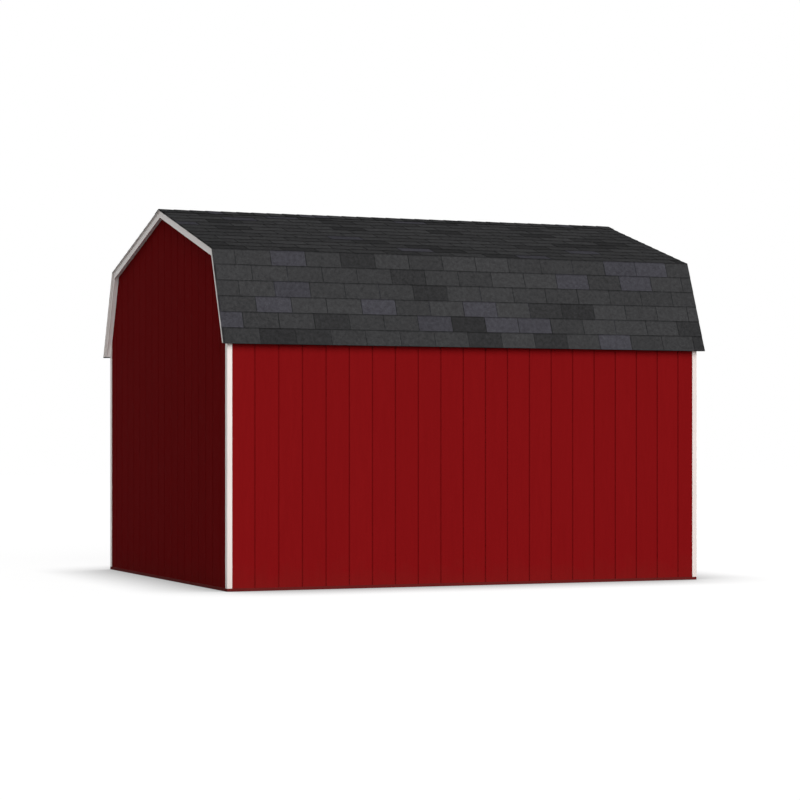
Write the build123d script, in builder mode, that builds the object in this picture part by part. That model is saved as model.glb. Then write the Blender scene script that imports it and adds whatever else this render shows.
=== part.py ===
from build123d import *
import math
import os

# Gambrel barn: X runs along the ridge, the long front wall faces -Y, Z is up.
# The origin is on the ground at the middle of the plan. All sizes in millimetres.

# Plan, measured over the siding
building_length = 4267.2
building_width = 3657.6

# Shingled faces: the eave edge hangs below the wall top, knuckle and ridge rise above it
eave_drop = 75.1
eave_overhang = 67.2
lower_rise = 786.5
knuckle_inset = 255.3
upper_rise = 451.5

# Ground rails
rail_thickness = 25.4
rail_width = 139.7

# Wall frames
stud_width = 38.1
stud_depth = 88.9
stud_length = 1930.4
stud_spacing = 406.4

# Grooved siding sheets
siding_thickness = 11.1
groove_width = 9.5
groove_depth = 5.0
groove_spacing = 203.2
first_groove_long = 228.0
first_groove_gable = 203.2

# Corner trim
trim_thickness = 5.0
long_trim_width = 42.0
gable_trim_width = 50.8

# Roof frames
rafter_depth = 88.9
truss_spacing = 609.6
gusset_thickness = 11.1
gusset_reach = 240.0

# Roof skin
deck_thickness = 11.1
shingle_thickness = 6.0
shingle_drip = 8.0
shingle_lip = 12.7
cap_width = 127.0
cap_thickness = 5.0

# Rakes and soffits
fly_rafter_thickness = 38.1
fly_rafter_depth = 38.1
rake_board_width = 63.5
soffit_thickness = 11.1

# Derived sizes
half_length = building_length / 2
half_width = building_width / 2
eave_half = half_width + eave_overhang
knuckle_half = half_width - knuckle_inset
wall_top = rail_thickness + 3 * stud_width + stud_length
eave_height = wall_top - eave_drop
knuckle_height = eave_height + lower_rise
ridge_height = knuckle_height + upper_rise
frame_outside = half_width - siding_thickness
frame_end = half_length - siding_thickness
deck_foot = eave_height + shingle_drip
deck_underside = shingle_thickness + deck_thickness
rafter_underside = deck_underside + rafter_depth
rake_plane = half_length + fly_rafter_thickness
roof_end = rake_plane + trim_thickness + shingle_lip
lower_angle = math.atan2(lower_rise, eave_half - knuckle_half)
upper_angle = math.atan2(upper_rise, knuckle_half)

sides = (("front", -1), ("back", 1))
ends = (("left", -1), ("right", 1))


# Roof section: distance from the centre line and height, at a depth under the shingled face
def ridge_at(depth):
    return (0, ridge_height - depth / math.cos(upper_angle))


def knuckle_at(depth):
    bisector = (lower_angle + upper_angle) / 2
    reach = depth / math.cos((lower_angle - upper_angle) / 2)
    return (
        knuckle_half - reach * math.sin(bisector),
        knuckle_height - reach * math.cos(bisector),
    )


def lower_slope_at(depth, height):
    run = (knuckle_height - height) / math.tan(lower_angle)
    return (knuckle_half + run - depth / math.sin(lower_angle), height)


def lower_slope_height(depth, distance):
    run = knuckle_half - depth / math.sin(lower_angle) - distance
    return (distance, knuckle_height + run * math.tan(lower_angle))


# A layer of the lower roof face, cut level at its foot and mitred at the knuckle
def lower_layer(side, top, bottom, foot):
    points = (
        lower_slope_at(top, foot),
        knuckle_at(top),
        knuckle_at(bottom),
        lower_slope_at(bottom, foot),
    )
    return [(side * distance, height) for distance, height in points]


# A layer of the upper roof face, mitred at the knuckle and plumb at the ridge
def upper_layer(side, top, bottom):
    points = (knuckle_at(top), ridge_at(top), ridge_at(bottom), knuckle_at(bottom))
    return [(side * distance, height) for distance, height in points]


# Stud centres along a wall frame, the last one at its end
def stud_places(run):
    first = (stud_width - run) / 2
    count = int((run - stud_width) / stud_spacing) + 1
    return [first + number * stud_spacing for number in range(count)] + [-first]


# Groove distances from the corner where the sheets start
def groove_places(length, first):
    count = int((length - first - groove_width / 2) / groove_spacing) + 1
    return [length / 2 - first - number * groove_spacing for number in range(count)]


os.makedirs("parts", exist_ok=True)

# Ground rails: treated boards laid flat, the long ones running through
for name, side in sides:
    with BuildPart() as rail:
        with BuildSketch():
            with Locations((0, side * (half_width + trim_thickness - rail_width / 2))):
                Rectangle(building_length + 2 * trim_thickness, rail_width)
        extrude(amount=rail_thickness)
    rail.part.label = f"{name}_rail"
    export_step(rail.part, f"parts/{name}_rail.step")

for name, end in ends:
    with BuildPart() as rail:
        with BuildSketch():
            with Locations((end * (half_length + trim_thickness - rail_width / 2), 0)):
                Rectangle(rail_width, building_width + 2 * (trim_thickness - rail_width))
        extrude(amount=rail_thickness)
    rail.part.label = f"{name}_rail"
    export_step(rail.part, f"parts/{name}_rail.step")

# Stud frames of the long walls: bottom plate, studs and doubled top plate
for name, side in sides:
    with BuildPart() as frame:
        with BuildSketch(Plane.XZ.offset(-side * (frame_outside - stud_depth / 2))):
            with Locations((0, rail_thickness + stud_width / 2)):
                Rectangle(2 * frame_end, stud_width)
            with Locations((0, wall_top - stud_width)):
                Rectangle(2 * frame_end, 2 * stud_width)
            with Locations(*[(x, (rail_thickness + wall_top) / 2) for x in stud_places(2 * frame_end)]):
                Rectangle(stud_width, wall_top - rail_thickness)
        extrude(amount=stud_depth / 2, both=True)
    frame.part.label = f"{name}_wall_frame"
    export_step(frame.part, f"parts/{name}_wall_frame.step")

# Stud frames of the gable walls, standing between the long ones
gable_frame_run = 2 * (frame_outside - stud_depth)
for name, end in ends:
    with BuildPart() as frame:
        with BuildSketch(Plane.YZ.offset(end * (frame_end - stud_depth / 2))):
            with Locations((0, rail_thickness + stud_width / 2)):
                Rectangle(gable_frame_run, stud_width)
            with Locations((0, wall_top - stud_width)):
                Rectangle(gable_frame_run, 2 * stud_width)
            with Locations(*[(y, (rail_thickness + wall_top) / 2) for y in stud_places(gable_frame_run)]):
                Rectangle(stud_width, wall_top - rail_thickness)
        extrude(amount=stud_depth / 2, both=True)
    frame.part.label = f"{name}_wall_frame"
    export_step(frame.part, f"parts/{name}_wall_frame.step")

# Siding of the long walls: sheets with upright grooves, between the gable sheets
for name, side in sides:
    with BuildPart() as siding:
        with BuildSketch(Plane.XY.offset(rail_thickness)):
            with Locations((0, side * (half_width - siding_thickness / 2))):
                Rectangle(2 * frame_end, siding_thickness)
            grooves = groove_places(building_length, first_groove_long)
            with Locations(*[(side * x, side * (half_width - groove_depth / 2)) for x in grooves]):
                Rectangle(groove_width, groove_depth, mode=Mode.SUBTRACT)
        extrude(amount=wall_top - rail_thickness)
    siding.part.label = f"{name}_siding"
    export_step(siding.part, f"parts/{name}_siding.step")

# Siding of the gable walls: the same sheets, cut to the gambrel line under the deck
for name, end in ends:
    with BuildPart() as siding:
        with BuildSketch(Plane.XY.offset(rail_thickness)):
            with Locations((end * (half_length - siding_thickness / 2), 0)):
                Rectangle(siding_thickness, building_width)
            grooves = groove_places(building_width, first_groove_gable)
            with Locations(*[(end * (half_length - groove_depth / 2), end * y) for y in grooves]):
                Rectangle(groove_depth, groove_width, mode=Mode.SUBTRACT)
        extrude(amount=ridge_height - rail_thickness)
        with BuildSketch(Plane.YZ):
            with BuildLine():
                Polyline(
                    (0, rail_thickness),
                    (half_width, rail_thickness),
                    lower_slope_height(deck_underside, half_width),
                    knuckle_at(deck_underside),
                    ridge_at(deck_underside),
                )
                mirror(about=Plane.YZ)
            make_face()
        extrude(amount=end * half_length, mode=Mode.INTERSECT)
    siding.part.label = f"{name}_siding"
    export_step(siding.part, f"parts/{name}_siding.step")

# Corner trim: a board on the gable face, scribed under the rake, laps the board on the long face
for end_name, end in ends:
    for side_name, side in sides:
        with BuildPart() as trim:
            with BuildSketch(Plane.YZ.offset(end * half_length)):
                fly_underside = deck_underside + fly_rafter_depth
                outer = half_width + trim_thickness
                inner = outer - gable_trim_width
                with BuildLine():
                    corners = (
                        (inner, rail_thickness),
                        (outer, rail_thickness),
                        lower_slope_height(fly_underside, outer),
                        lower_slope_height(fly_underside, inner),
                    )
                    Polyline(*[(side * distance, height) for distance, height in corners], close=True)
                make_face()
            extrude(amount=end * trim_thickness)
            with BuildSketch(Plane.XY.offset(rail_thickness)):
                long_board = long_trim_width - trim_thickness
                board_centre = (half_length - long_board / 2, half_width + trim_thickness / 2)
                with Locations((end * board_centre[0], side * board_centre[1])):
                    Rectangle(long_board, trim_thickness)
            extrude(amount=deck_foot - rail_thickness)
        trim.part.label = f"{side_name}_{end_name}_corner_trim"
        export_step(trim.part, f"parts/{side_name}_{end_name}_corner_trim.step")


# Outline of a pair of gambrel rafters, notched over the wall and its siding, as a half section
def rafter_outline():
    tail_foot = deck_foot + soffit_thickness
    return (
        ridge_at(deck_underside),
        knuckle_at(deck_underside),
        lower_slope_at(deck_underside, tail_foot),
        (half_width, tail_foot),
        (half_width, wall_top),
        lower_slope_at(rafter_underside, wall_top),
        knuckle_at(rafter_underside),
        ridge_at(rafter_underside),
    )


# Plywood gusset at the knuckle, following both rafters for the gusset's reach
def knuckle_gusset(side):
    distance, height = knuckle_at(deck_underside)
    lower_end = (
        distance + gusset_reach * math.cos(lower_angle),
        height - gusset_reach * math.sin(lower_angle),
    )
    upper_end = (
        distance - gusset_reach * math.cos(upper_angle),
        height + gusset_reach * math.sin(upper_angle),
    )
    points = (
        lower_end,
        (distance, height),
        upper_end,
        (
            upper_end[0] - rafter_depth * math.sin(upper_angle),
            upper_end[1] - rafter_depth * math.cos(upper_angle),
        ),
        (
            lower_end[0] - rafter_depth * math.sin(lower_angle),
            lower_end[1] - rafter_depth * math.cos(lower_angle),
        ),
    )
    return [(side * across, up) for across, up in points]


# Roof trusses: four rafters joined by gussets on both faces, no tie across the room
truss_count = int(2 * frame_end / truss_spacing)
for number in range(truss_count):
    place = (number - (truss_count - 1) / 2) * truss_spacing
    with BuildPart() as truss:
        with BuildSketch(Plane.YZ.offset(place)):
            with BuildLine():
                Polyline(*rafter_outline())
                mirror(about=Plane.YZ)
            make_face()
        extrude(amount=stud_width / 2, both=True)
        with BuildSketch(Plane.YZ.offset(place)):
            for side_name, side in sides:
                with BuildLine():
                    Polyline(*knuckle_gusset(side), close=True)
                make_face()
            with BuildLine():
                apex = ridge_at(deck_underside)
                gusset_end = (
                    gusset_reach * math.cos(upper_angle),
                    apex[1] - gusset_reach * math.sin(upper_angle),
                )
                gusset_foot = (
                    gusset_end[0] - rafter_depth * math.sin(upper_angle),
                    gusset_end[1] - rafter_depth * math.cos(upper_angle),
                )
                Polyline(apex, gusset_end, gusset_foot, (0, gusset_foot[1]))
                mirror(about=Plane.YZ)
            make_face()
        extrude(amount=stud_width / 2 + gusset_thickness, both=True)
    truss.part.label = f"truss_{number + 1}"
    export_step(truss.part, f"parts/truss_{number + 1}.step")

# Gable trusses: the end rafters with a tie and studs that carry the gable siding
for name, end in ends:
    with BuildPart() as gable_truss:
        with BuildSketch(Plane.YZ.offset(end * (frame_end - stud_width / 2))):
            with BuildLine():
                Polyline(*rafter_outline())
                mirror(about=Plane.YZ)
            make_face()
            with Locations((0, wall_top + stud_width / 2)):
                Rectangle(2 * lower_slope_at(rafter_underside, wall_top)[0], stud_width)
            for y in stud_places(gable_frame_run):
                if abs(y) < knuckle_at(rafter_underside)[0]:
                    rise = (knuckle_half - abs(y)) * math.tan(upper_angle)
                    top = knuckle_height + rise - (deck_underside + rafter_depth / 2) / math.cos(upper_angle)
                    with Locations((y, (wall_top + top) / 2)):
                        Rectangle(stud_width, top - wall_top)
        extrude(amount=stud_width / 2, both=True)
    gable_truss.part.label = f"{name}_gable_truss"
    export_step(gable_truss.part, f"parts/{name}_gable_truss.step")

# Fly rafters: one bent band outside each gable, under the deck edge
for name, end in ends:
    with BuildPart() as fly_rafter:
        with BuildSketch(Plane.YZ.offset(end * half_length)):
            with BuildLine():
                Polyline(
                    ridge_at(deck_underside),
                    knuckle_at(deck_underside),
                    lower_slope_at(deck_underside, deck_foot),
                    lower_slope_at(deck_underside + fly_rafter_depth, deck_foot),
                    knuckle_at(deck_underside + fly_rafter_depth),
                    ridge_at(deck_underside + fly_rafter_depth),
                )
                mirror(about=Plane.YZ)
            make_face()
        extrude(amount=end * fly_rafter_thickness)
    fly_rafter.part.label = f"{name}_fly_rafter"
    export_step(fly_rafter.part, f"parts/{name}_fly_rafter.step")

# Rake boards: they cover the deck edge and hang below the fly rafter
rake_foot = shingle_thickness + rake_board_width
for end_name, end in ends:
    for side_name, side in sides:
        outlines = {
            "lower": lower_layer(side, shingle_thickness, rake_foot, deck_foot),
            "upper": upper_layer(side, shingle_thickness, rake_foot),
        }
        for level, outline in outlines.items():
            with BuildPart() as rake:
                with BuildSketch(Plane.YZ.offset(end * rake_plane)):
                    with BuildLine():
                        Polyline(*outline, close=True)
                    make_face()
                extrude(amount=end * trim_thickness)
            rake.part.label = f"{end_name}_{side_name}_{level}_rake_board"
            export_step(rake.part, f"parts/{end_name}_{side_name}_{level}_rake_board.step")

# Roof deck and shingles: one sheet of each to every roof face
for side_name, side in sides:
    outlines = {
        "lower": lower_layer(side, shingle_thickness, deck_underside, deck_foot),
        "upper": upper_layer(side, shingle_thickness, deck_underside),
    }
    for level, outline in outlines.items():
        with BuildPart() as deck:
            with BuildSketch(Plane.YZ):
                with BuildLine():
                    Polyline(*outline, close=True)
                make_face()
            extrude(amount=rake_plane, both=True)
        deck.part.label = f"{side_name}_{level}_deck"
        export_step(deck.part, f"parts/{side_name}_{level}_deck.step")

    outlines = {
        "lower": lower_layer(side, 0, shingle_thickness, eave_height),
        "upper": upper_layer(side, 0, shingle_thickness),
    }
    for level, outline in outlines.items():
        with BuildPart() as shingles:
            with BuildSketch(Plane.YZ):
                with BuildLine():
                    Polyline(*outline, close=True)
                make_face()
            extrude(amount=roof_end, both=True)
        shingles.part.label = f"{side_name}_{level}_shingles"
        export_step(shingles.part, f"parts/{side_name}_{level}_shingles.step")

# Ridge cap folded over both upper faces
with BuildPart() as ridge_cap:
    with BuildSketch(Plane.YZ):
        with BuildLine():
            cap_foot = (
                cap_width * math.cos(upper_angle),
                ridge_height - cap_width * math.sin(upper_angle),
            )
            cap_edge = (
                cap_foot[0] + cap_thickness * math.sin(upper_angle),
                cap_foot[1] + cap_thickness * math.cos(upper_angle),
            )
            Polyline(ridge_at(0), cap_foot, cap_edge, ridge_at(-cap_thickness))
            mirror(about=Plane.YZ)
        make_face()
    extrude(amount=roof_end, both=True)
ridge_cap.part.label = "ridge_cap"
export_step(ridge_cap.part, "parts/ridge_cap.step")

# Soffits: boards that close the eaves between the wall and the deck
for name, side in sides:
    with BuildPart() as soffit:
        with BuildSketch(Plane.YZ):
            with BuildLine():
                corners = (
                    (half_width, deck_foot),
                    lower_slope_at(deck_underside, deck_foot),
                    lower_slope_at(deck_underside, deck_foot + soffit_thickness),
                    (half_width, deck_foot + soffit_thickness),
                )
                Polyline(*[(side * distance, height) for distance, height in corners], close=True)
            make_face()
        extrude(amount=half_length, both=True)
    soffit.part.label = f"{name}_soffit"
    export_step(soffit.part, f"parts/{name}_soffit.step")
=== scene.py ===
import math
import random

import bpy
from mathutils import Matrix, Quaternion, Vector


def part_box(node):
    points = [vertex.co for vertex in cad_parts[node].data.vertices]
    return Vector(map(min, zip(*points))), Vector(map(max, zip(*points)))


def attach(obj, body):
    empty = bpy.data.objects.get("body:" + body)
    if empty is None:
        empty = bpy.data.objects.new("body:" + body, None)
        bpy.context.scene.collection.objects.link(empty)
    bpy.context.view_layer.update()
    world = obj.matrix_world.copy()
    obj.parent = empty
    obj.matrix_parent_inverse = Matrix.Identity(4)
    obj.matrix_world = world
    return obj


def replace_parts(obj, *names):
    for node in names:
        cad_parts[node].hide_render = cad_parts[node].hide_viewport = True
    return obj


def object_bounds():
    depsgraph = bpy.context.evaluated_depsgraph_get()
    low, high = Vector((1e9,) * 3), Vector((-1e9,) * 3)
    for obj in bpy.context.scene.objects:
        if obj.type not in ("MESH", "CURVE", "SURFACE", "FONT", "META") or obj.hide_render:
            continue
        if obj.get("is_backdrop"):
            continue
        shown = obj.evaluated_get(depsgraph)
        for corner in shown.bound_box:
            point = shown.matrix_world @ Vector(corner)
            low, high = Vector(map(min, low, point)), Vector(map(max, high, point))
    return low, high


# The barn's frame: X runs along the ridge, the front wall faces -Y and Z is up, all in metres
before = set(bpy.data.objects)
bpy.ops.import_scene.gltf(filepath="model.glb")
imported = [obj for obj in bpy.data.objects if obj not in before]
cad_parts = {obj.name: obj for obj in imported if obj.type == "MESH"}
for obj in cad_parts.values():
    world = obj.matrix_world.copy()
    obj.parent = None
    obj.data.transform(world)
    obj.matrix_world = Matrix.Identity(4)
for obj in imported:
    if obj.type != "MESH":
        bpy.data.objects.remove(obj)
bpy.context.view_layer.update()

# Ground rails: four treated boards an inch thick, laid flat under the walls, flush with the trim.
# They are sawn softwood soaked in a red-brown preservative, with the grain along each board.
RAIL_BROWN = (0.155, 0.0125, 0.0115, 1)
RAIL_DARK = (0.095, 0.0080, 0.0070, 1)
RAIL_EASING = 0.002
WELD_REACH = 0.00005


def add_node(tree, kind, inputs=None, **settings):
    made = tree.nodes.new(kind)
    for name, value in settings.items():
        setattr(made, name, value)
    for name, value in (inputs or {}).items():
        if isinstance(value, bpy.types.NodeSocket):
            tree.links.new(value, made.inputs[name])
        else:
            made.inputs[name].default_value = value
    return made


def do_sum(tree, operation, *values):
    made = add_node(tree, "ShaderNodeMath", dict(enumerate(values)), operation=operation)
    return made.outputs[0]


def mix_colours(tree, factor, first, second):
    mixed = add_node(tree, "ShaderNodeMix", {0: factor, 6: first, 7: second}, data_type="RGBA")
    return mixed.outputs[2]


def remap(tree, value, low, high, out_low, out_high):
    ends = {0: value, 1: low, 2: high, 3: out_low, 4: out_high}
    return add_node(tree, "ShaderNodeMapRange", ends).outputs[0]


def stretch_vector(tree, vector, factors):
    inputs = {0: vector, 1: factors}
    return add_node(tree, "ShaderNodeVectorMath", inputs, operation="MULTIPLY").outputs[0]


def turn_vector(tree, vector, turn):
    return add_node(tree, "ShaderNodeMapping", {"Vector": vector, "Rotation": turn}).outputs[0]


def noise_of(tree, vector, scale, detail, distortion=0.0):
    inputs = {"Vector": vector, "Scale": scale, "Detail": detail, "Distortion": distortion}
    return add_node(tree, "ShaderNodeTexNoise", inputs).outputs[0]


def start_group(name, inputs, outputs):
    group = bpy.data.node_groups.new(name, "ShaderNodeTree")
    for socket, kind in inputs.items():
        group.interface.new_socket(socket, in_out="INPUT", socket_type="NodeSocket" + kind)
    for socket, kind in outputs.items():
        group.interface.new_socket(socket, in_out="OUTPUT", socket_type="NodeSocket" + kind)
    given = group.nodes.new("NodeGroupInput").outputs
    result = group.nodes.new("NodeGroupOutput").inputs
    return group, given, result


# Wood grain: fine streaks and a broad figure, both drawn out along the vector's Z axis
def make_wood_grain():
    group, given, result = start_group(
        "wood_grain",
        {"Vector": "Vector", "Streaks": "Float", "Figure": "Float"},
        {"Streak": "Float", "Figure": "Float"},
    )
    fine = stretch_vector(group, given["Vector"], (1, 1, 0.03))
    broad = stretch_vector(group, given["Vector"], (1, 1, 0.09))
    streak = noise_of(group, fine, given["Streaks"], detail=5, distortion=0.2)
    figure = noise_of(group, broad, given["Figure"], detail=3, distortion=1.4)
    group.links.new(streak, result["Streak"])
    group.links.new(figure, result["Figure"])
    return group


wood_grain = make_wood_grain()


def grain_of(tree, vector, streaks, figure):
    inputs = {"Vector": vector, "Streaks": streaks, "Figure": figure}
    return add_node(tree, "ShaderNodeGroup", inputs, node_tree=wood_grain).outputs


# Where a point lies, with Z along the grain of an upright board, one along X, or one along Y
def upright(tree):
    return add_node(tree, "ShaderNodeTexCoord").outputs["Object"]


def lengthwise(tree):
    return turn_vector(tree, upright(tree), (0, math.radians(90), 0))


def crosswise(tree):
    return turn_vector(tree, upright(tree), (math.radians(90), 0, 0))


def start_material(name, shine):
    material = bpy.data.materials.new(name)
    material.use_nodes = True
    shader = material.node_tree.nodes["Principled BSDF"].inputs
    shader["Specular IOR Level"].default_value = shine
    return material, material.node_tree, shader


# A finish is a tone, a roughness and a relief, whose depth is in metres
def lay_finish(tree, shader, tone, roughness, relief, depth):
    bump = add_node(tree, "ShaderNodeBump", {"Height": relief, "Distance": depth, "Strength": 1.0})
    tree.links.new(tone, shader["Base Color"])
    tree.links.new(roughness, shader["Roughness"])
    tree.links.new(bump.outputs[0], shader["Normal"])


def treated_board(name, laid):
    material, tree, shader = start_material(name, shine=0.1)
    grain = grain_of(tree, laid(tree), streaks=260, figure=26)
    tone = mix_colours(tree, grain["Figure"], RAIL_DARK, RAIL_BROWN)
    tone = mix_colours(tree, remap(tree, grain["Streak"], 0.35, 0.7, 0, 0.5), tone, RAIL_DARK)
    roughness = remap(tree, grain["Streak"], 0.3, 0.7, 0.95, 0.75)
    lay_finish(tree, shader, tone, roughness, grain["Streak"], depth=0.0008)
    return material


# A frame node keeps its mesh and gets its finish; planed and sawn boards have their edges eased
def dress(node, material, easing=0.0):
    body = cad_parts[node]
    body.data.materials.clear()
    body.data.materials.append(material)
    if easing:
        weld = body.modifiers.new("weld", "WELD")
        weld.merge_threshold = WELD_REACH
        bevel = body.modifiers.new("eased_edges", "BEVEL")
        bevel.width = easing
        bevel.segments = 2
        bevel.limit_method = "ANGLE"
        bevel.harden_normals = True


BOARD_RUNS = (("long", lengthwise, ("front", "back")), ("cross", crosswise, ("left", "right")))
for run, laid, walls in BOARD_RUNS:
    rail_wood = treated_board(f"{run}_rail_wood", laid)
    for wall in walls:
        dress(f"{wall}_rail", rail_wood, easing=RAIL_EASING)

# Wall frames: two-by-four plates and studs of planed pine, nailed together inside the siding.
# The grain is upright in the studs and runs along the wall in the plates at the foot and the top.
PINE_PALE = (0.66, 0.44, 0.23, 1)
PINE_DARK = (0.44, 0.23, 0.09, 1)
PINE_KNOT = (0.13, 0.05, 0.02, 1)
KNOT_STRETCH = (2.2, 2.2, 1)
BOARD_THICKNESS = 0.0381


def choose_vector(tree, factor, first, second):
    chosen = add_node(tree, "ShaderNodeMix", {0: factor, 4: first, 5: second}, data_type="VECTOR")
    return chosen.outputs[1]


def axis_of(tree, vector, axis):
    return add_node(tree, "ShaderNodeSeparateXYZ", {0: vector}).outputs[axis]


def cells_of(tree, vector, scale):
    return add_node(tree, "ShaderNodeTexVoronoi", {"Vector": vector, "Scale": scale}).outputs


def pine(name, laid):
    material, tree, shader = start_material(name, shine=0.3)
    vector = laid(tree)
    grain = grain_of(tree, vector, streaks=320, figure=30)
    knots = cells_of(tree, stretch_vector(tree, vector, KNOT_STRETCH), scale=3.0)["Distance"]
    tone = mix_colours(tree, remap(tree, grain["Figure"], 0.4, 0.62, 0, 1), PINE_PALE, PINE_DARK)
    tone = mix_colours(tree, remap(tree, grain["Streak"], 0.45, 0.75, 0, 0.35), tone, PINE_DARK)
    tone = mix_colours(tree, remap(tree, knots, 0.05, 0.09, 1, 0), tone, PINE_KNOT)
    roughness = remap(tree, grain["Streak"], 0.3, 0.7, 0.75, 0.55)
    lay_finish(tree, shader, tone, roughness, grain["Streak"], depth=0.0003)
    return material


# One plate lies at the foot of a wall frame and two at its top
def framed(along_wall):
    low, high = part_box("front_wall_frame")

    def laid(tree):
        height = axis_of(tree, upright(tree), "Z")
        in_foot = do_sum(tree, "LESS_THAN", height, low.z + BOARD_THICKNESS)
        in_top = do_sum(tree, "GREATER_THAN", height, high.z - 2 * BOARD_THICKNESS)
        in_plate = do_sum(tree, "MAXIMUM", in_foot, in_top)
        return choose_vector(tree, in_plate, upright(tree), along_wall(tree))

    return laid


for run, along_wall, walls in BOARD_RUNS:
    frame_pine = pine(f"{run}_frame_pine", framed(along_wall))
    for wall in walls:
        dress(f"{wall}_wall_frame", frame_pine)

# Siding: sheets of pressed wood with upright grooves eight inches apart, nailed to the studs.
# They are painted flat barn red over an embossed cedar grain, and each plank takes it differently.
# The grooves are darkened with painted shade.
BARN_RED = (0.212, 0.0055, 0.0066, 1)
BARN_RED_DEEP = (0.182, 0.0042, 0.0052, 1)
BARN_RED_WORN = (0.250, 0.014, 0.013, 1)
SPLASH_BROWN = (0.100, 0.030, 0.020, 1)
# The groove red is painted shade laid into the grooves' recesses
GROOVE_SHADE_RED = (0.120, 0.0020, 0.0026, 1)
GROOVE_SPACING = 0.2032
GROOVE_HALF_WIDTH = 0.0045
FIRST_GROOVE = {"X": -1.9056, "Y": -1.6256}


def dot_product(tree, first, second):
    inputs = {0: first, 1: second}
    product = add_node(tree, "ShaderNodeVectorMath", inputs, operation="DOT_PRODUCT")
    return product.outputs["Value"]


# Edge wear: where the rounded normal leaves the face's own, broken up by noise
def make_edge_wear():
    group, given, result = start_group(
        "edge_wear", {"Vector": "Vector", "Radius": "Float", "Amount": "Float"}, {"Worn": "Float"}
    )
    rounded = add_node(group, "ShaderNodeBevel", {"Radius": given["Radius"]}, samples=4).outputs[0]
    own = add_node(group, "ShaderNodeNewGeometry").outputs["Normal"]
    edge = remap(group, dot_product(group, rounded, own), 0.995, 0.80, 0, 1)
    noise = noise_of(group, given["Vector"], scale=35.0, detail=4.0)
    worn = do_sum(group, "MULTIPLY", edge, remap(group, noise, 0.42, 0.66, 0, 1))
    group.links.new(do_sum(group, "MULTIPLY", worn, given["Amount"]), result["Worn"])
    return group


# Splash dust: rain throws soil on the foot of a wall, in a ragged band that fades upward
def make_splash_dust():
    group, given, result = start_group(
        "splash_dust", {"Vector": "Vector", "Height": "Float", "Amount": "Float"}, {"Dust": "Float"}
    )
    height = axis_of(group, given["Vector"], "Z")
    noise = noise_of(group, given["Vector"], scale=9.0, detail=5.0)
    reach = do_sum(group, "MULTIPLY", given["Height"], remap(group, noise, 0.3, 0.7, 0.35, 1))
    fade = remap(group, height, 0.0, reach, 1.0, 0.0)
    group.links.new(do_sum(group, "MULTIPLY", fade, given["Amount"]), result["Dust"])
    return group


edge_wear = make_edge_wear()
splash_dust = make_splash_dust()


def wear_of(tree, radius, amount):
    inputs = {"Vector": upright(tree), "Radius": radius, "Amount": amount}
    return add_node(tree, "ShaderNodeGroup", inputs, node_tree=edge_wear).outputs["Worn"]


def splash_of(tree, height, amount):
    inputs = {"Vector": upright(tree), "Height": height, "Amount": amount}
    return add_node(tree, "ShaderNodeGroup", inputs, node_tree=splash_dust).outputs["Dust"]


# One random number for each plank between two grooves, and the distance to the nearest groove
def plank_and_groove(tree, axis, first_groove):
    from_first = do_sum(tree, "SUBTRACT", axis_of(tree, upright(tree), axis), first_groove)
    whole = do_sum(tree, "FLOOR", do_sum(tree, "DIVIDE", from_first, GROOVE_SPACING))
    plank = add_node(tree, "ShaderNodeTexWhiteNoise", {"W": whole}, noise_dimensions="1D").outputs[0]
    return plank, do_sum(tree, "PINGPONG", from_first, GROOVE_SPACING / 2)


def barn_paint(name, axis, first_groove):
    material, tree, shader = start_material(name, shine=0.012)
    grain = grain_of(tree, upright(tree), streaks=230, figure=22)
    plank, aside = plank_and_groove(tree, axis, first_groove)
    # Painted shade: the paint is darkened within each groove, standing in for the shade of its recess
    painted_groove_shade = remap(tree, aside, GROOVE_HALF_WIDTH, 2 * GROOVE_HALF_WIDTH, 0.40, 0)
    tone = mix_colours(tree, remap(tree, grain["Figure"], 0.3, 0.7, 0.4, 0), BARN_RED, BARN_RED_DEEP)
    tone = mix_colours(tree, remap(tree, plank, 0, 1, 0, 0.35), tone, BARN_RED_DEEP)
    tone = mix_colours(tree, remap(tree, grain["Streak"], 0.52, 0.78, 0, 0.5), tone, BARN_RED_DEEP)
    tone = mix_colours(tree, wear_of(tree, radius=0.004, amount=0.6), tone, BARN_RED_WORN)
    tone = mix_colours(tree, painted_groove_shade, tone, GROOVE_SHADE_RED)
    tone = mix_colours(tree, splash_of(tree, height=0.30, amount=0.10), tone, SPLASH_BROWN)
    roughness = remap(tree, grain["Streak"], 0.3, 0.7, 0.74, 0.9)
    lay_finish(tree, shader, tone, roughness, grain["Streak"], depth=0.0005)
    return material


# A piece that the frame doesn't have: its mesh and finish, and the body it rides on
def build_mesh(name, points, faces, material, attributes=()):
    mesh = bpy.data.meshes.new(name)
    mesh.from_pydata(points, [], faces)
    for title, kind, domain, key, values in attributes:
        mesh.attributes.new(title, kind, domain).data.foreach_set(key, values)
    mesh.validate()
    mesh.materials.append(material)
    piece = bpy.data.objects.new(name, mesh)
    bpy.context.scene.collection.objects.link(piece)
    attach(piece, "root")
    return piece


# Nail heads: low domes half sunk in the paint, those of one board or sheet gathered into one mesh
NAIL_RADIUS = 0.0034
NAIL_RISE = 0.0008
NAIL_SIDES = 8
NAIL_RINGS = ((1.0, -0.4), (1.0, 0.25), (0.6, 0.8))


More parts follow.
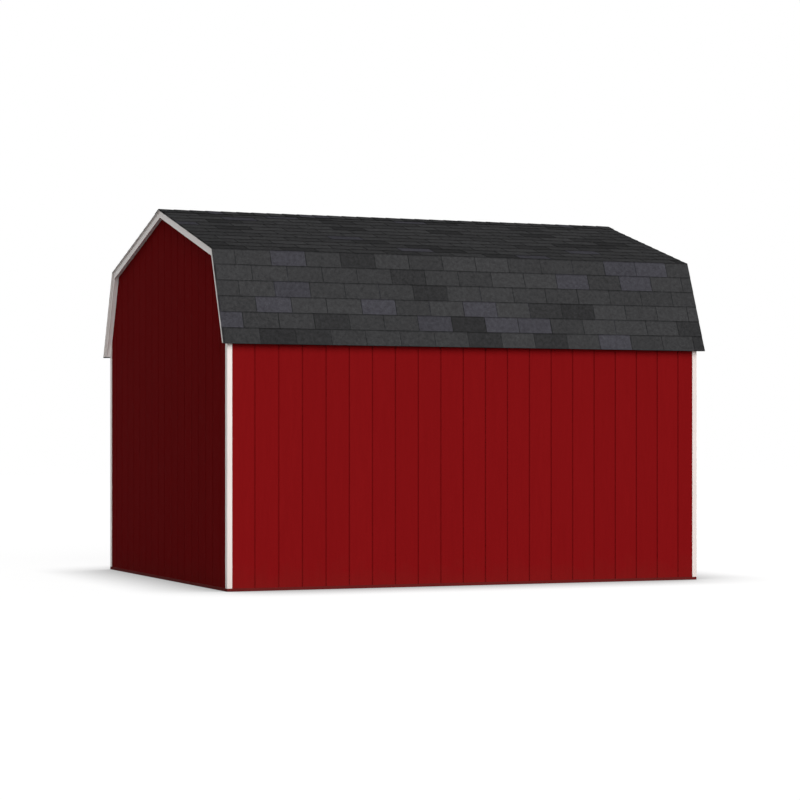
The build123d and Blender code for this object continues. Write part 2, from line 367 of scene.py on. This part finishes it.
def drive_nails(name, places, outward, material):
    points, faces = [], []
    for spot in places:
        first = len(points)
        for reach, rise in NAIL_RINGS:
            spoke = outward.orthogonal().normalized() * NAIL_RADIUS * reach
            for step in range(NAIL_SIDES):
                turned = Quaternion(outward, math.tau * step / NAIL_SIDES) @ spoke
                points.append(spot + turned + outward * NAIL_RISE * rise)
        points.append(spot + outward * NAIL_RISE)
        crown_ring = first + 2 * NAIL_SIDES
        crown = first + 3 * NAIL_SIDES
        for step in range(NAIL_SIDES):
            after = (step + 1) % NAIL_SIDES
            for ring in (first, first + NAIL_SIDES):
                above = ring + NAIL_SIDES
                faces.append((ring + step, ring + after, above + after, above + step))
            faces.append((crown_ring + step, crown_ring + after, crown))
        faces.append(range(first + NAIL_SIDES - 1, first - 1, -1))
    build_mesh(name, points, faces, material).data.shade_smooth()


# The roof's section, read from the frame: each fold's distance from the centre line and its height
lower_low, lower_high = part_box("front_lower_shingles")
upper_low, upper_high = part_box("front_upper_shingles")
EAVE = Vector((-lower_low.y, lower_low.z))
KNUCKLE = Vector((-upper_low.y, lower_high.z))
RIDGE = Vector((0, upper_high.z))
ROOF_END = lower_high.x
LOWER_ANGLE = math.atan2(KNUCKLE.y - EAVE.y, EAVE.x - KNUCKLE.x)
UPPER_ANGLE = math.atan2(RIDGE.y - KNUCKLE.y, KNUCKLE.x)
DECK_UNDERSIDE = 0.0171


# Height of the line at a depth under the roof's finished face, at a distance from the centre
def roof_height(distance, depth):
    on_upper = RIDGE.y - distance * math.tan(UPPER_ANGLE) - depth / math.cos(UPPER_ANGLE)
    on_lower = EAVE.y + (EAVE.x - distance) * math.tan(LOWER_ANGLE) - depth / math.cos(LOWER_ANGLE)
    return min(on_upper, on_lower)


# Each stud has a column of nails a little beside its middle, up to the top of the sheet
STUD_SPACING = 0.4064
NAIL_SPACING = 0.3048
NAIL_ASIDE = 0.013
NAIL_FOOT = 0.06
NAIL_MARGIN = 0.08
for wall, axis, way in (("front", 0, -1), ("back", 0, 1), ("left", 1, -1), ("right", 1, 1)):
    sheet_low, sheet_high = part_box(f"{wall}_siding")
    stud_low, stud_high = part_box(f"{wall}_wall_frame")
    run = "XY"[axis]
    first_groove = FIRST_GROOVE[run] * (1 if wall in ("front", "left") else -1)
    paint = barn_paint(f"{wall}_barn_paint", run, first_groove)
    dress(f"{wall}_siding", paint)
    face = (sheet_high if way > 0 else sheet_low)[1 - axis]
    outward = Vector((0, way, 0) if axis == 0 else (way, 0, 0))
    places = []
    across = stud_low[axis] + BOARD_THICKNESS / 2 + STUD_SPACING - NAIL_ASIDE
    while across < stud_high[axis] - NAIL_MARGIN:
        top = sheet_high.z if axis == 0 else roof_height(abs(across), DECK_UNDERSIDE)
        height = sheet_low.z + NAIL_FOOT
        while height < top - NAIL_MARGIN:
            places.append(Vector((across, face, height) if axis == 0 else (face, across, height)))
            height += NAIL_SPACING
        across += STUD_SPACING
    drive_nails(f"{wall}_siding_nails", places, outward, paint)

# Corner trim: two thin boards at each corner, nailed over the siding and painted white.
# The paint is a semi-gloss exterior white that shows the grain faintly and is thin on the edges.
TRIM_WHITE = (0.715, 0.625, 0.590, 1)
TRIM_SHADED = (0.655, 0.57, 0.53, 1)
TRIM_WORN = (0.60, 0.52, 0.43, 1)
TRIM_SPLASH = (0.42, 0.33, 0.26, 1)
EASED = 0.0012
TRIM_NAILS = 5
TRIM_NAIL_SPACING = 0.40
WALL_NAIL_INSET = 0.022
WALL_NAIL_FOOT = 0.07
GABLE_NAIL_INSET = 0.026
GABLE_NAIL_FOOT = 0.13
SIDES = {"front": -1, "back": 1}
ENDS = {"left": -1, "right": 1}


def white_paint(name, laid, white=TRIM_WHITE, shaded=TRIM_SHADED):
    material, tree, shader = start_material(name, shine=0.8)
    shader["Coat Weight"].default_value = 0.9
    shader["Coat Roughness"].default_value = 0.3
    grain = grain_of(tree, laid(tree), streaks=200, figure=16)
    tone = mix_colours(tree, remap(tree, grain["Figure"], 0.35, 0.7, 0, 0.8), white, shaded)
    tone = mix_colours(tree, remap(tree, grain["Streak"], 0.55, 0.8, 0, 0.5), tone, shaded)
    tone = mix_colours(tree, wear_of(tree, radius=0.003, amount=0.35), tone, TRIM_WORN)
    tone = mix_colours(tree, splash_of(tree, height=0.2, amount=0.12), tone, TRIM_SPLASH)
    roughness = remap(tree, grain["Streak"], 0.3, 0.7, 0.36, 0.5)
    lay_finish(tree, shader, tone, roughness, grain["Streak"], depth=0.0003)
    return material


upright_white = white_paint("upright_white", upright)
for wall, side in SIDES.items():
    for end_name, end in ENDS.items():
        node = f"{wall}_{end_name}_corner_trim"
        dress(node, upright_white, easing=EASED)
        low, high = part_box(node)
        corner = Vector((high.x if end > 0 else low.x, high.y if side > 0 else low.y, low.z))
        for board, outward, lowest_nail in (
            ("wall", (0, side, 0), (-end * WALL_NAIL_INSET, 0, WALL_NAIL_FOOT)),
            ("gable", (end, 0, 0), (0, -side * GABLE_NAIL_INSET, GABLE_NAIL_FOOT)),
        ):
            lowest = corner + Vector(lowest_nail)
            rises = [TRIM_NAIL_SPACING * step for step in range(TRIM_NAILS)]
            places = [lowest + Vector((0, 0, rise)) for rise in rises]
            drive_nails(f"{node}_{board}_nails", places, Vector(outward), upright_white)

# Roof frames: six trusses of two-by-four rafters with plywood gussets, and a studded one in each
# gable. The grain follows each slope, changing at the mitre under the knuckle.
TRUSSES = 6
TRUSS_SPACING = 0.6096
RAFTER_DEPTH = 0.0889
RAFTER_UNDERSIDE = DECK_UNDERSIDE + RAFTER_DEPTH
MITRE_ANGLE = (LOWER_ANGLE + UPPER_ANGLE) / 2
GUSSET_PALE = (0.72, 0.53, 0.31, 1)
GUSSET_SHARE = 0.6
GUSSET_MARGIN = 0.0005


# The roof folded onto one side: X as it is, the distance from the centre line, and the height
def folded_roof(tree):
    x, y, z = add_node(tree, "ShaderNodeSeparateXYZ", {0: upright(tree)}).outputs
    inputs = {0: x, 1: do_sum(tree, "ABSOLUTE", y), 2: z}
    return add_node(tree, "ShaderNodeCombineXYZ", inputs).outputs[0]


def slopewise(tree):
    folded = folded_roof(tree)
    runs = []
    for angle in (LOWER_ANGLE, UPPER_ANGLE):
        runs.append(turn_vector(tree, folded, (angle - math.radians(90), 0, 0)))
    up_slope = Vector((0, -math.cos(MITRE_ANGLE), math.sin(MITRE_ANGLE)))
    fold = up_slope.dot(Vector((0, KNUCKLE.x, KNUCKLE.y)))
    above = do_sum(tree, "GREATER_THAN", dot_product(tree, folded, up_slope), fold)
    return choose_vector(tree, above, *runs)


# In a gable the tie under the rafters runs across, and the studs on it stand upright
def gable_framed(tree):
    folded = folded_roof(tree)
    depths = []
    for angle, fold in ((LOWER_ANGLE, EAVE), (UPPER_ANGLE, RIDGE)):
        outward = Vector((0, math.sin(angle), math.cos(angle)))
        face = outward.dot(Vector((0, fold.x, fold.y)))
        depths.append(do_sum(tree, "SUBTRACT", face, dot_product(tree, folded, outward)))
    within = do_sum(tree, "GREATER_THAN", do_sum(tree, "MINIMUM", *depths), RAFTER_UNDERSIDE)
    wall_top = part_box("left_wall_frame")[1].z
    in_tie = do_sum(tree, "LESS_THAN", axis_of(tree, folded, "Z"), wall_top + BOARD_THICKNESS)
    below = choose_vector(tree, in_tie, upright(tree), crosswise(tree))
    return choose_vector(tree, within, slopewise(tree), below)


# Trusses stand midway between the multiples of their spacing, with gussets on both their faces
def truss_pine(name):
    material = pine(name, slopewise)
    tree = material.node_tree
    base = tree.nodes["Principled BSDF"].inputs["Base Color"]
    aside = do_sum(tree, "PINGPONG", axis_of(tree, upright(tree), "X"), TRUSS_SPACING / 2)
    rafter_face = TRUSS_SPACING / 2 - BOARD_THICKNESS / 2 - GUSSET_MARGIN
    gusset = do_sum(tree, "LESS_THAN", aside, rafter_face)
    paler = do_sum(tree, "MULTIPLY", gusset, GUSSET_SHARE)
    tree.links.new(mix_colours(tree, paler, base.links[0].from_socket, GUSSET_PALE), base)
    return material


rafter_pine = truss_pine("rafter_pine")
gable_pine = pine("gable_pine", gable_framed)
for number in range(1, TRUSSES + 1):
    dress(f"truss_{number}", rafter_pine)
for end_name in ENDS:
    dress(f"{end_name}_gable_truss", gable_pine)

# Fly rafters: two-by-twos nailed outside each gable under the deck, mitred where the roof folds.
# They are painted white, paler than the trim's white: painted light that brightens their shaded
# undersides.
# A paler copy of the trim's white, as painted light for the fly rafters in shade
PAINTED_LIGHT_WHITE = (0.93, 0.90, 0.88, 1)
PAINTED_LIGHT_WHITE_DEEP = (0.87, 0.83, 0.80, 1)
white_with_painted_light = white_paint("white_with_painted_light", slopewise, PAINTED_LIGHT_WHITE, PAINTED_LIGHT_WHITE_DEEP)
for end_name in ENDS:
    dress(f"{end_name}_fly_rafter", white_with_painted_light, easing=EASED)

# Rake boards: four thin boards on each gable, one to a slope, mitred at the knuckles and the ridge.
# They are nailed over the fly rafter and the deck's edge, and painted with the trim's white.
RAKE_MIDDLE = 0.038
SLOPES = {"lower": (EAVE, KNUCKLE), "upper": (KNUCKLE, RIDGE)}
slope_white = white_paint("slope_white", slopewise)
for end_name, end in ENDS.items():
    for wall, side in SIDES.items():
        for level, (foot, head) in SLOPES.items():
            node = f"{end_name}_{wall}_{level}_rake_board"
            dress(node, slope_white, easing=EASED)
            low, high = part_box(node)
            face = high.x if end > 0 else low.x
            along = (head - foot).normalized()
            middle = foot - Vector((along.y, -along.x)) * RAKE_MIDDLE
            count = round((head - foot).length / TRIM_NAIL_SPACING)
            places = []
            for step in range(count):
                spot = middle + (head - foot) * (step + 0.5) / count
                places.append(Vector((face, side * spot.x, spot.y)))
            drive_nails(f"{node}_nails", places, Vector((end, 0, 0)), slope_white)

# Roof deck: strand board seven sixteenths of an inch thick, nailed over the rafters, bare inside.
# Long flakes of wood are pressed flat in every direction.
STRAND_PALE = (0.60, 0.43, 0.25, 1)
STRAND_DARK = (0.38, 0.23, 0.10, 1)
FLAKE_STRETCH = (1, 1, 0.25)
FLAKE_TURNS = (20, 75, 130)


def strand_board(name):
    material, tree, shader = start_material(name, shine=0.25)
    tone, height = STRAND_PALE, 0.0
    for channel, degrees in enumerate(FLAKE_TURNS):
        turn = (math.radians(degrees), math.radians(degrees), 0)
        turned = turn_vector(tree, slopewise(tree), turn)
        flakes = cells_of(tree, stretch_vector(tree, turned, FLAKE_STRETCH), scale=45.0)
        shade = add_node(tree, "ShaderNodeSeparateColor", {0: flakes["Color"]}).outputs[channel]
        tone = mix_colours(tree, remap(tree, shade, 0.3, 1, 0, 0.6), tone, STRAND_DARK)
        height = do_sum(tree, "MAXIMUM", height, shade)
    lay_finish(tree, shader, tone, remap(tree, height, 0.5, 1, 0.8, 0.6), height, depth=0.0004)
    return material


deck_strands = strand_board("deck_strands")
for wall in SIDES:
    for level in SLOPES:
        dress(f"{wall}_{level}_deck", deck_strands)

# Soffits: two thin boards that close the eaves between the wall and the foot of the deck.
# They are nailed up from below and painted white, with the grain along the wall.
long_white = white_paint("long_white", lengthwise)
for wall in SIDES:
    dress(f"{wall}_soffit", long_white, easing=EASED)

# Rake edging: a strip of white sheet metal on each gable, nailed over the deck and the rake board.
# It carries the lip of the shingles, and its hem is turned down along the edge.
METAL_WHITE = (0.80, 0.77, 0.75, 1)
METAL_DULL = (0.70, 0.67, 0.64, 1)
SHINGLE_DEPTH = 0.006
EDGING_METAL = 0.0008
EDGING_HEM = 0.002
EDGING_LAP = 0.004
EDGING_SETBACK = 0.0005


def coated_metal(name):
    material, tree, shader = start_material(name, shine=0.5)
    noise = noise_of(tree, upright(tree), scale=60.0, detail=4.0)
    tone = mix_colours(tree, remap(tree, noise, 0.4, 0.65, 0, 1), METAL_WHITE, METAL_DULL)
    lay_finish(tree, shader, tone, remap(tree, noise, 0.3, 0.7, 0.35, 0.5), noise, depth=0.0001)
    return material


# Section line of the whole roof at a depth under its finished face, from front foot to back foot
def roof_line(depth, foot):
    reach = depth / math.cos((LOWER_ANGLE - UPPER_ANGLE) / 2)
    knuckle = KNUCKLE - Vector((math.sin(MITRE_ANGLE), math.cos(MITRE_ANGLE))) * reach
    eave = Vector((knuckle.x + (knuckle.y - foot) / math.tan(LOWER_ANGLE), foot))
    ridge = RIDGE - Vector((0, depth / math.cos(UPPER_ANGLE)))
    front = [(-eave.x, eave.y), (-knuckle.x, knuckle.y)]
    back = [(knuckle.x, knuckle.y), (eave.x, eave.y)]
    return front + [(0, ridge.y)] + back


edging_white = coated_metal("edging_white")
for end_name, end in ENDS.items():
    board_low, board_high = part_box(f"{end_name}_front_lower_rake_board")
    inner = max(abs(board_low.x), abs(board_high.x)) - EDGING_LAP
    outer = ROOF_END - EDGING_SETBACK
    profile = (
        (inner, SHINGLE_DEPTH),
        (outer, SHINGLE_DEPTH),
        (outer, SHINGLE_DEPTH + EDGING_HEM),
        (outer - EDGING_METAL, SHINGLE_DEPTH + EDGING_HEM),
        (outer - EDGING_METAL, SHINGLE_DEPTH + EDGING_METAL),
        (inner, SHINGLE_DEPTH + EDGING_METAL),
    )
    lines = [roof_line(depth, board_low.z) for _, depth in profile]
    folds = len(lines[0])
    points = [Vector((end * x, y, z)) for (x, depth), line in zip(profile, lines) for y, z in line]
    faces = []
    for corner in range(len(profile)):
        after = (corner + 1) % len(profile)
        for fold in range(folds - 1):
            here, there = corner * folds + fold, after * folds + fold
            faces.append((here, there, there + 1, here + 1)[::end])
    for fold, way in ((0, -end), (folds - 1, end)):
        faces.append([corner * folds + fold for corner in range(len(profile))][::way])
    build_mesh(f"{end_name}_rake_edging", points, faces, edging_white)

# Shingles: asphalt strips cut into twelve-inch tabs, nailed to the deck in courses that overlap and
# break joint. Each tab is coated with mineral granules of its own charcoal tone, and a few are slate.
TAB_WIDTH = 0.3048
TAB_BREAK = 0.178
TAB_START = 0.012
TAB_EDGE = 0.0015
TAB_COLUMN = 0.06
SLOT_WIDTH = 0.006
SLIVER = 0.01
EXPOSURE = (KNUCKLE - EAVE).length / 6
HEADLAP = 2.08
HEAD_GAP = 0.002
STARTER_ROWS = (1, 1.5, HEADLAP)
COURSE_ROWS = (0, 0.018, 0.5, 1, HEADLAP)
STRIP_SHARE = 0.5
STRIP_SINKING = 0.432
STRIP_DEEPEST = 0.99
RAGGED_BUTT = 0.0016
WAVY_FACE = 0.0005
WORN_RIM = 0.0006
TALC_GREY = [0.16, 0.155, 0.15, 1.0]
ASPHALT_BLACK = [0.011, 0.011, 0.011, 1.0]
CHARCOAL = ((0.038, 0.048), (0.027, 0.034), (0.048, 0.058))
CHARCOAL_SHARES = {"lower": (0.72, 0.17, 0.11), "upper": (0.77, 0.19, 0.04)}
CHARCOAL_TINTS = ((1.0, 1.0, 1.03), (1.0, 1.0, 1.03), (0.99, 0.97, 1.13))


# A tab is of the common charcoal, the dark one, or the slate one
def tab_colour(dice, level):
    family = dice.choices(range(3), CHARCOAL_SHARES[level])[0]
    tone = dice.uniform(*CHARCOAL[family])
    return [tone * part for part in CHARCOAL_TINTS[family]] + [1.0]


# Depth of a strip's top and underside below the finished roof face, at a distance up from its butt.
# A strip is half as thick as the two layers together, and sinks under the next ones up the slope.
def strip_section(rise):
    steps = rise / EXPOSURE
    top = SHINGLE_DEPTH * (STRIP_SHARE * min(steps, 1) + STRIP_SINKING * max(steps - 1, 0))
    underside = SHINGLE_DEPTH * min(STRIP_SHARE + STRIP_SINKING * steps, STRIP_DEEPEST)
    return top, underside


# A closed slab over a grid of columns and rows: tops and undersides by turns, then the rim
def slab_faces(columns, rows, first):
    def at(layer, column, row):
        return first + (layer * rows + row) * columns + column

    faces = []
    for row in range(rows - 1):
        for column in range(columns - 1):
            loop = ((column, row), (column + 1, row), (column + 1, row + 1), (column, row + 1))
            faces.append([at(0, *place) for place in loop])
            faces.append([at(1, *place) for place in reversed(loop)])
    rim = [(column, 0) for column in range(columns - 1)]
    rim += [(columns - 1, row) for row in range(rows - 1)]
    rim += [(column, rows - 1) for column in range(columns - 1, 0, -1)]
    rim += [(0, row) for row in range(rows - 1, 0, -1)]
    for here, there in zip(rim, rim[1:] + rim[:1]):
        faces.append([at(0, *there), at(0, *here), at(1, *here), at(1, *there)])
    return faces


# Granules cover the top, the underside is dusted with talc, and the cut rim shows black asphalt
def slab_colours(colour, columns, rows, count):
    tops = (columns - 1) * (rows - 1)
    return (colour + TALC_GREY) * tops + ASPHALT_BLACK * (count - 2 * tops)


# The shingles' mesh also knows how far up its strip each point lies, and the colour of each face
def build_shingles(name, points, faces, rises, colours, material):
    attributes = (
        ("rise", "FLOAT", "POINT", "value", rises),
        ("tab_colour", "FLOAT_COLOR", "FACE", "color", colours),
    )
    return build_mesh(name, points, faces, material, attributes)


# One slope of the roof, cut on the mitre at its foot and its head, from a starter strip upward
def shingle_slope(name, side, level, foot, head, foot_mitre, head_mitre, material):
    dice = random.Random(name)
    along = (head - foot).normalized()
    outward = Vector((along.y, -along.x))
    length = (head - foot).length
    points, faces, rises, colours = [], [], [], []

    def lay_tab(left, right, butt, colour, rows):
        steps = max(2, round((right - left) / TAB_COLUMN))
        columns = [left, left + TAB_EDGE]
        columns += [left + (right - left) * step / steps for step in range(1, steps)]
        columns += [right - TAB_EDGE, right]
        ragged = [dice.uniform(0, RAGGED_BUTT) for _ in columns]
        wavy = [dice.uniform(0, WAVY_FACE) for _ in columns]
        first = len(points)
        for layer in (0, 1):
            for row, rise in enumerate(rows):
                for column, x in enumerate(columns):
                    depth = strip_section(rise)[layer]
                    if layer == 0:
                        at_rim = column in (0, len(columns) - 1) or row == 0
                        depth += WORN_RIM if at_rim else wavy[column] * (rise < EXPOSURE)
                    up = butt + rise + (ragged[column] if row < 2 else 0)
                    up = min(max(up, foot_mitre * depth), length - head_mitre * depth)
                    spot = foot + along * up - outward * depth
                    points.append((-side * x, side * spot.x, spot.y))
                    rises.append(rise / EXPOSURE)
        made = slab_faces(len(columns), len(rows), first)
        faces.extend(made)
        colours.extend(slab_colours(colour, len(columns), len(rows), len(made)))

    starter = [EXPOSURE * step for step in STARTER_ROWS]
    lay_tab(-ROOF_END, ROOF_END, -EXPOSURE, tab_colour(dice, level), starter)
    for course in range(math.ceil((length - SLIVER) / EXPOSURE)):
        butt = course * EXPOSURE
        rows = [EXPOSURE * step for step in COURSE_ROWS]
        rows = [rise for rise in rows if butt + rise < length - HEAD_GAP]
        if len(rows) < len(COURSE_ROWS):
            rows.append(length - butt)
        edge = -ROOF_END + TAB_START + TAB_BREAK * (course % 2) - TAB_WIDTH
        while edge < ROOF_END:
            left = max(edge + SLOT_WIDTH / 2, -ROOF_END)
            right = min(edge + TAB_WIDTH - SLOT_WIDTH / 2, ROOF_END)
            if right - left > SLIVER:
                lay_tab(left, right, butt, tab_colour(dice, level), rows)
            edge += TAB_WIDTH
    return build_shingles(name, points, faces, rises, colours, material)


# Granules speckle the tab's tone. Painted shade darkens it just under the next butt, and it is also
# darker along its own butt
def granule_coat(name):
    material, tree, shader = start_material(name, shine=0.0)
    place = upright(tree)
    tone = add_node(tree, "ShaderNodeAttribute", attribute_name="tab_colour").outputs["Color"]
    rise = add_node(tree, "ShaderNodeAttribute", attribute_name="rise").outputs["Fac"]
    cells = cells_of(tree, place, scale=620.0)
    mottle = noise_of(tree, place, scale=38.0, detail=4.0)
    speckle = add_node(tree, "ShaderNodeSeparateColor", {0: cells["Color"]}).outputs[0]
    for part in (
        remap(tree, speckle, 0, 1, 0.55, 1.45),
        remap(tree, mottle, 0.3, 0.7, 0.82, 1.18),
        # Painted shade under the butt of the next course
        remap(tree, rise, 0.90, 1.0, 1.0, 0.62),
        remap(tree, rise, 0.0, 0.03, 0.75, 1.0),
    ):
        tone = stretch_vector(tree, tone, part)
    roughness = remap(tree, speckle, 0, 1, 0.8, 1.0)
    lay_finish(tree, shader, tone, roughness, cells["Distance"], depth=0.0006)
    return material


granules = granule_coat("granules")
HALF_FOLD = math.tan((LOWER_ANGLE - UPPER_ANGLE) / 2)
MITRES = {"lower": (0, HALF_FOLD), "upper": (HALF_FOLD, math.tan(UPPER_ANGLE))}
for wall, side in SIDES.items():
    for level, (foot, head) in SLOPES.items():
        tabs = f"{wall}_{level}_shingle_tabs"
        slope = shingle_slope(tabs, side, level, foot, head, *MITRES[level], granules)
        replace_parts(slope, f"{wall}_{level}_shingles")

# Ridge cap: single asphalt shingles bent over the ridge and nailed, each lapping the last by the
# same exposure. Their butts face the left gable.
CAP_REACH = 0.127
CAP_DEPTH = 0.005
CAP_THINNEST = 0.0002
CAP_ROUNDING = 0.0004
CAP_ROWS = (0, 0.02, 0.5, 1, 1.9)
CAP_SECTION = (-1, -0.985, -0.5, -0.05, 0, 0.05, 0.5, 0.985, 1)


def ridge_cap_shingles(name, material):
    dice = random.Random("ridge cap")
    points, faces, rises, colours = [], [], [], []
    slope = Vector((math.cos(UPPER_ANGLE), -math.sin(UPPER_ANGLE)))
    outward = Vector((math.sin(UPPER_ANGLE), math.cos(UPPER_ANGLE)))
    for number in range(math.ceil(2 * ROOF_END / EXPOSURE)):
        butt = -ROOF_END + number * EXPOSURE
        rows = [step for step in CAP_ROWS if butt + step * EXPOSURE < ROOF_END - HEAD_GAP]
        if len(rows) < len(CAP_ROWS):
            rows.append((ROOF_END - butt) / EXPOSURE)
        first = len(points)
        for layer in (0, 1):
            for row, step in enumerate(rows):
                for across in CAP_SECTION:
                    height = CAP_DEPTH * max(1 - 0.5 * (step + layer), 0)
                    if layer == 0 and (row == 0 or abs(across) == 1):
                        height = max(height - WORN_RIM, CAP_THINNEST)
                    if across == 0:
                        crown = (height - CAP_ROUNDING) / math.cos(UPPER_ANGLE)
                        spot = RIDGE + Vector((0, crown))
                    else:
                        spot = RIDGE + slope * CAP_REACH * abs(across) + outward * height
                    points.append((butt + step * EXPOSURE, math.copysign(spot.x, across), spot.y))
                    rises.append(step)
        made = [face[::-1] for face in slab_faces(len(CAP_SECTION), len(rows), first)]
        faces.extend(made)
        colour = tab_colour(dice, "upper")
        colours.extend(slab_colours(colour, len(CAP_SECTION), len(rows), len(made)))
    return build_shingles(name, points, faces, rises, colours, material)


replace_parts(ridge_cap_shingles("ridge_cap_shingles", granules), "ridge_cap")

# Floor, backdrop and light: a plain white floor, one broad lamp low in front, a weak one behind,
# and an even pale sky. Rays that light the barn see a darker floor and sky than the camera does.
FLOOR_WHITE = (0.14, 0.14, 0.14, 1)
FLOOR_BOUNCE = (0.30, 0.30, 0.30, 1)
FLOOR_GLOW = 0.92
FLOOR_HALF_SPAN = 60.0
# Reach, lean and depth of the painted shadow that dims the floor's glow around the barn's foot
CONTACT_REACH = 0.80
CONTACT_LEAN = (0.50, -0.35, 0.79)
CONTACT_DEPTH = 1.2
SKY_STRENGTH = 0.24


def seen_directly(tree):
    rays = add_node(tree, "ShaderNodeLightPath").outputs
    seen = do_sum(tree, "MAXIMUM", rays["Is Camera Ray"], rays["Is Glossy Ray"])
    return do_sum(tree, "MAXIMUM", seen, rays["Is Transmission Ray"])


# The floor glows white to the camera, and the glow is dimmed near the barn's foot where it sees less
# of the sky: a painted shadow.
# The lean lays more of that painted shadow on the floor beside the left gable.
def floor_white(name):
    material = bpy.data.materials.new(name)
    material.use_nodes = True
    tree = material.node_tree
    tree.nodes.remove(tree.nodes["Principled BSDF"])
    seen = seen_directly(tree)
    colour = mix_colours(tree, seen, FLOOR_BOUNCE, FLOOR_WHITE)
    matte = add_node(tree, "ShaderNodeBsdfDiffuse", {"Color": colour})
    contact = {"Distance": CONTACT_REACH, "Normal": CONTACT_LEAN}
    openness = add_node(tree, "ShaderNodeAmbientOcclusion", contact).outputs["AO"]
    shaded = do_sum(tree, "POWER", openness, CONTACT_DEPTH)
    glow_with_painted_shadow = do_sum(tree, "MULTIPLY", do_sum(tree, "MULTIPLY", seen, FLOOR_GLOW), shaded)
    glow = add_node(tree, "ShaderNodeEmission", {"Strength": glow_with_painted_shadow})
    both = add_node(tree, "ShaderNodeAddShader", {0: matte.outputs[0], 1: glow.outputs[0]})
    tree.links.new(both.outputs[0], tree.nodes["Material Output"].inputs["Surface"])
    return material


def lay_floor(name, half, material):
    mesh = bpy.data.meshes.new(name)
    corners = [(-half, -half, 0), (half, -half, 0), (half, half, 0), (-half, half, 0)]
    mesh.from_pydata(corners, [], [(0, 1, 2, 3)])
    mesh.materials.append(material)
    floor = bpy.data.objects.new(name, mesh)
    bpy.context.scene.collection.objects.link(floor)
    floor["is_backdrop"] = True


def hang_sky(name):
    world = bpy.data.worlds.new(name)
    world.use_nodes = True
    tree = world.node_tree
    background = tree.nodes["Background"].inputs
    background["Color"].default_value = (1, 1, 1, 1)
    strength = remap(tree, seen_directly(tree), 0, 1, SKY_STRENGTH, 1.0)
    tree.links.new(strength, background["Strength"])
    bpy.context.scene.world = world


def hang_lamp(name, strength, elevation, turn, softness):
    lamp = bpy.data.lights.new(name, "SUN")
    lamp.energy = strength
    lamp.angle = math.radians(softness)
    holder = bpy.data.objects.new(name, lamp)
    holder.rotation_euler = (math.radians(90 - elevation), 0, math.radians(turn))
    bpy.context.scene.collection.objects.link(holder)


lay_floor("floor", FLOOR_HALF_SPAN, floor_white("floor_white"))
hang_sky("pale_sky")
hang_lamp("key_lamp", strength=2.85, elevation=25, turn=4, softness=50)
hang_lamp("back_lamp", strength=1.1, elevation=9, turn=130, softness=50)

# Camera: the photograph's viewpoint, at chest height, a good way off the barn's near corner.
# It looks level through a long lens, and its shift frames the barn as the photograph does.
CAMERA_PLACE = (-7.978, -20.446, 1.2313)
CAMERA_TURN = math.radians(-23.398)
CAMERA_LENS = 108.61
CAMERA_SHIFT = (-0.1, 0.0484)

camera = bpy.data.cameras.new("camera")
camera.lens = CAMERA_LENS
camera.shift_x, camera.shift_y = CAMERA_SHIFT
camera_holder = bpy.data.objects.new("camera", camera)
camera_holder.location = CAMERA_PLACE
camera_holder.rotation_euler = (math.radians(90), 0, CAMERA_TURN)
bpy.context.scene.collection.objects.link(camera_holder)
bpy.context.scene.camera = camera_holder
bpy.context.scene.view_settings.view_transform = "Standard"

# Sizes: the box around every piece that renders, all but the floor
low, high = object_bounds()
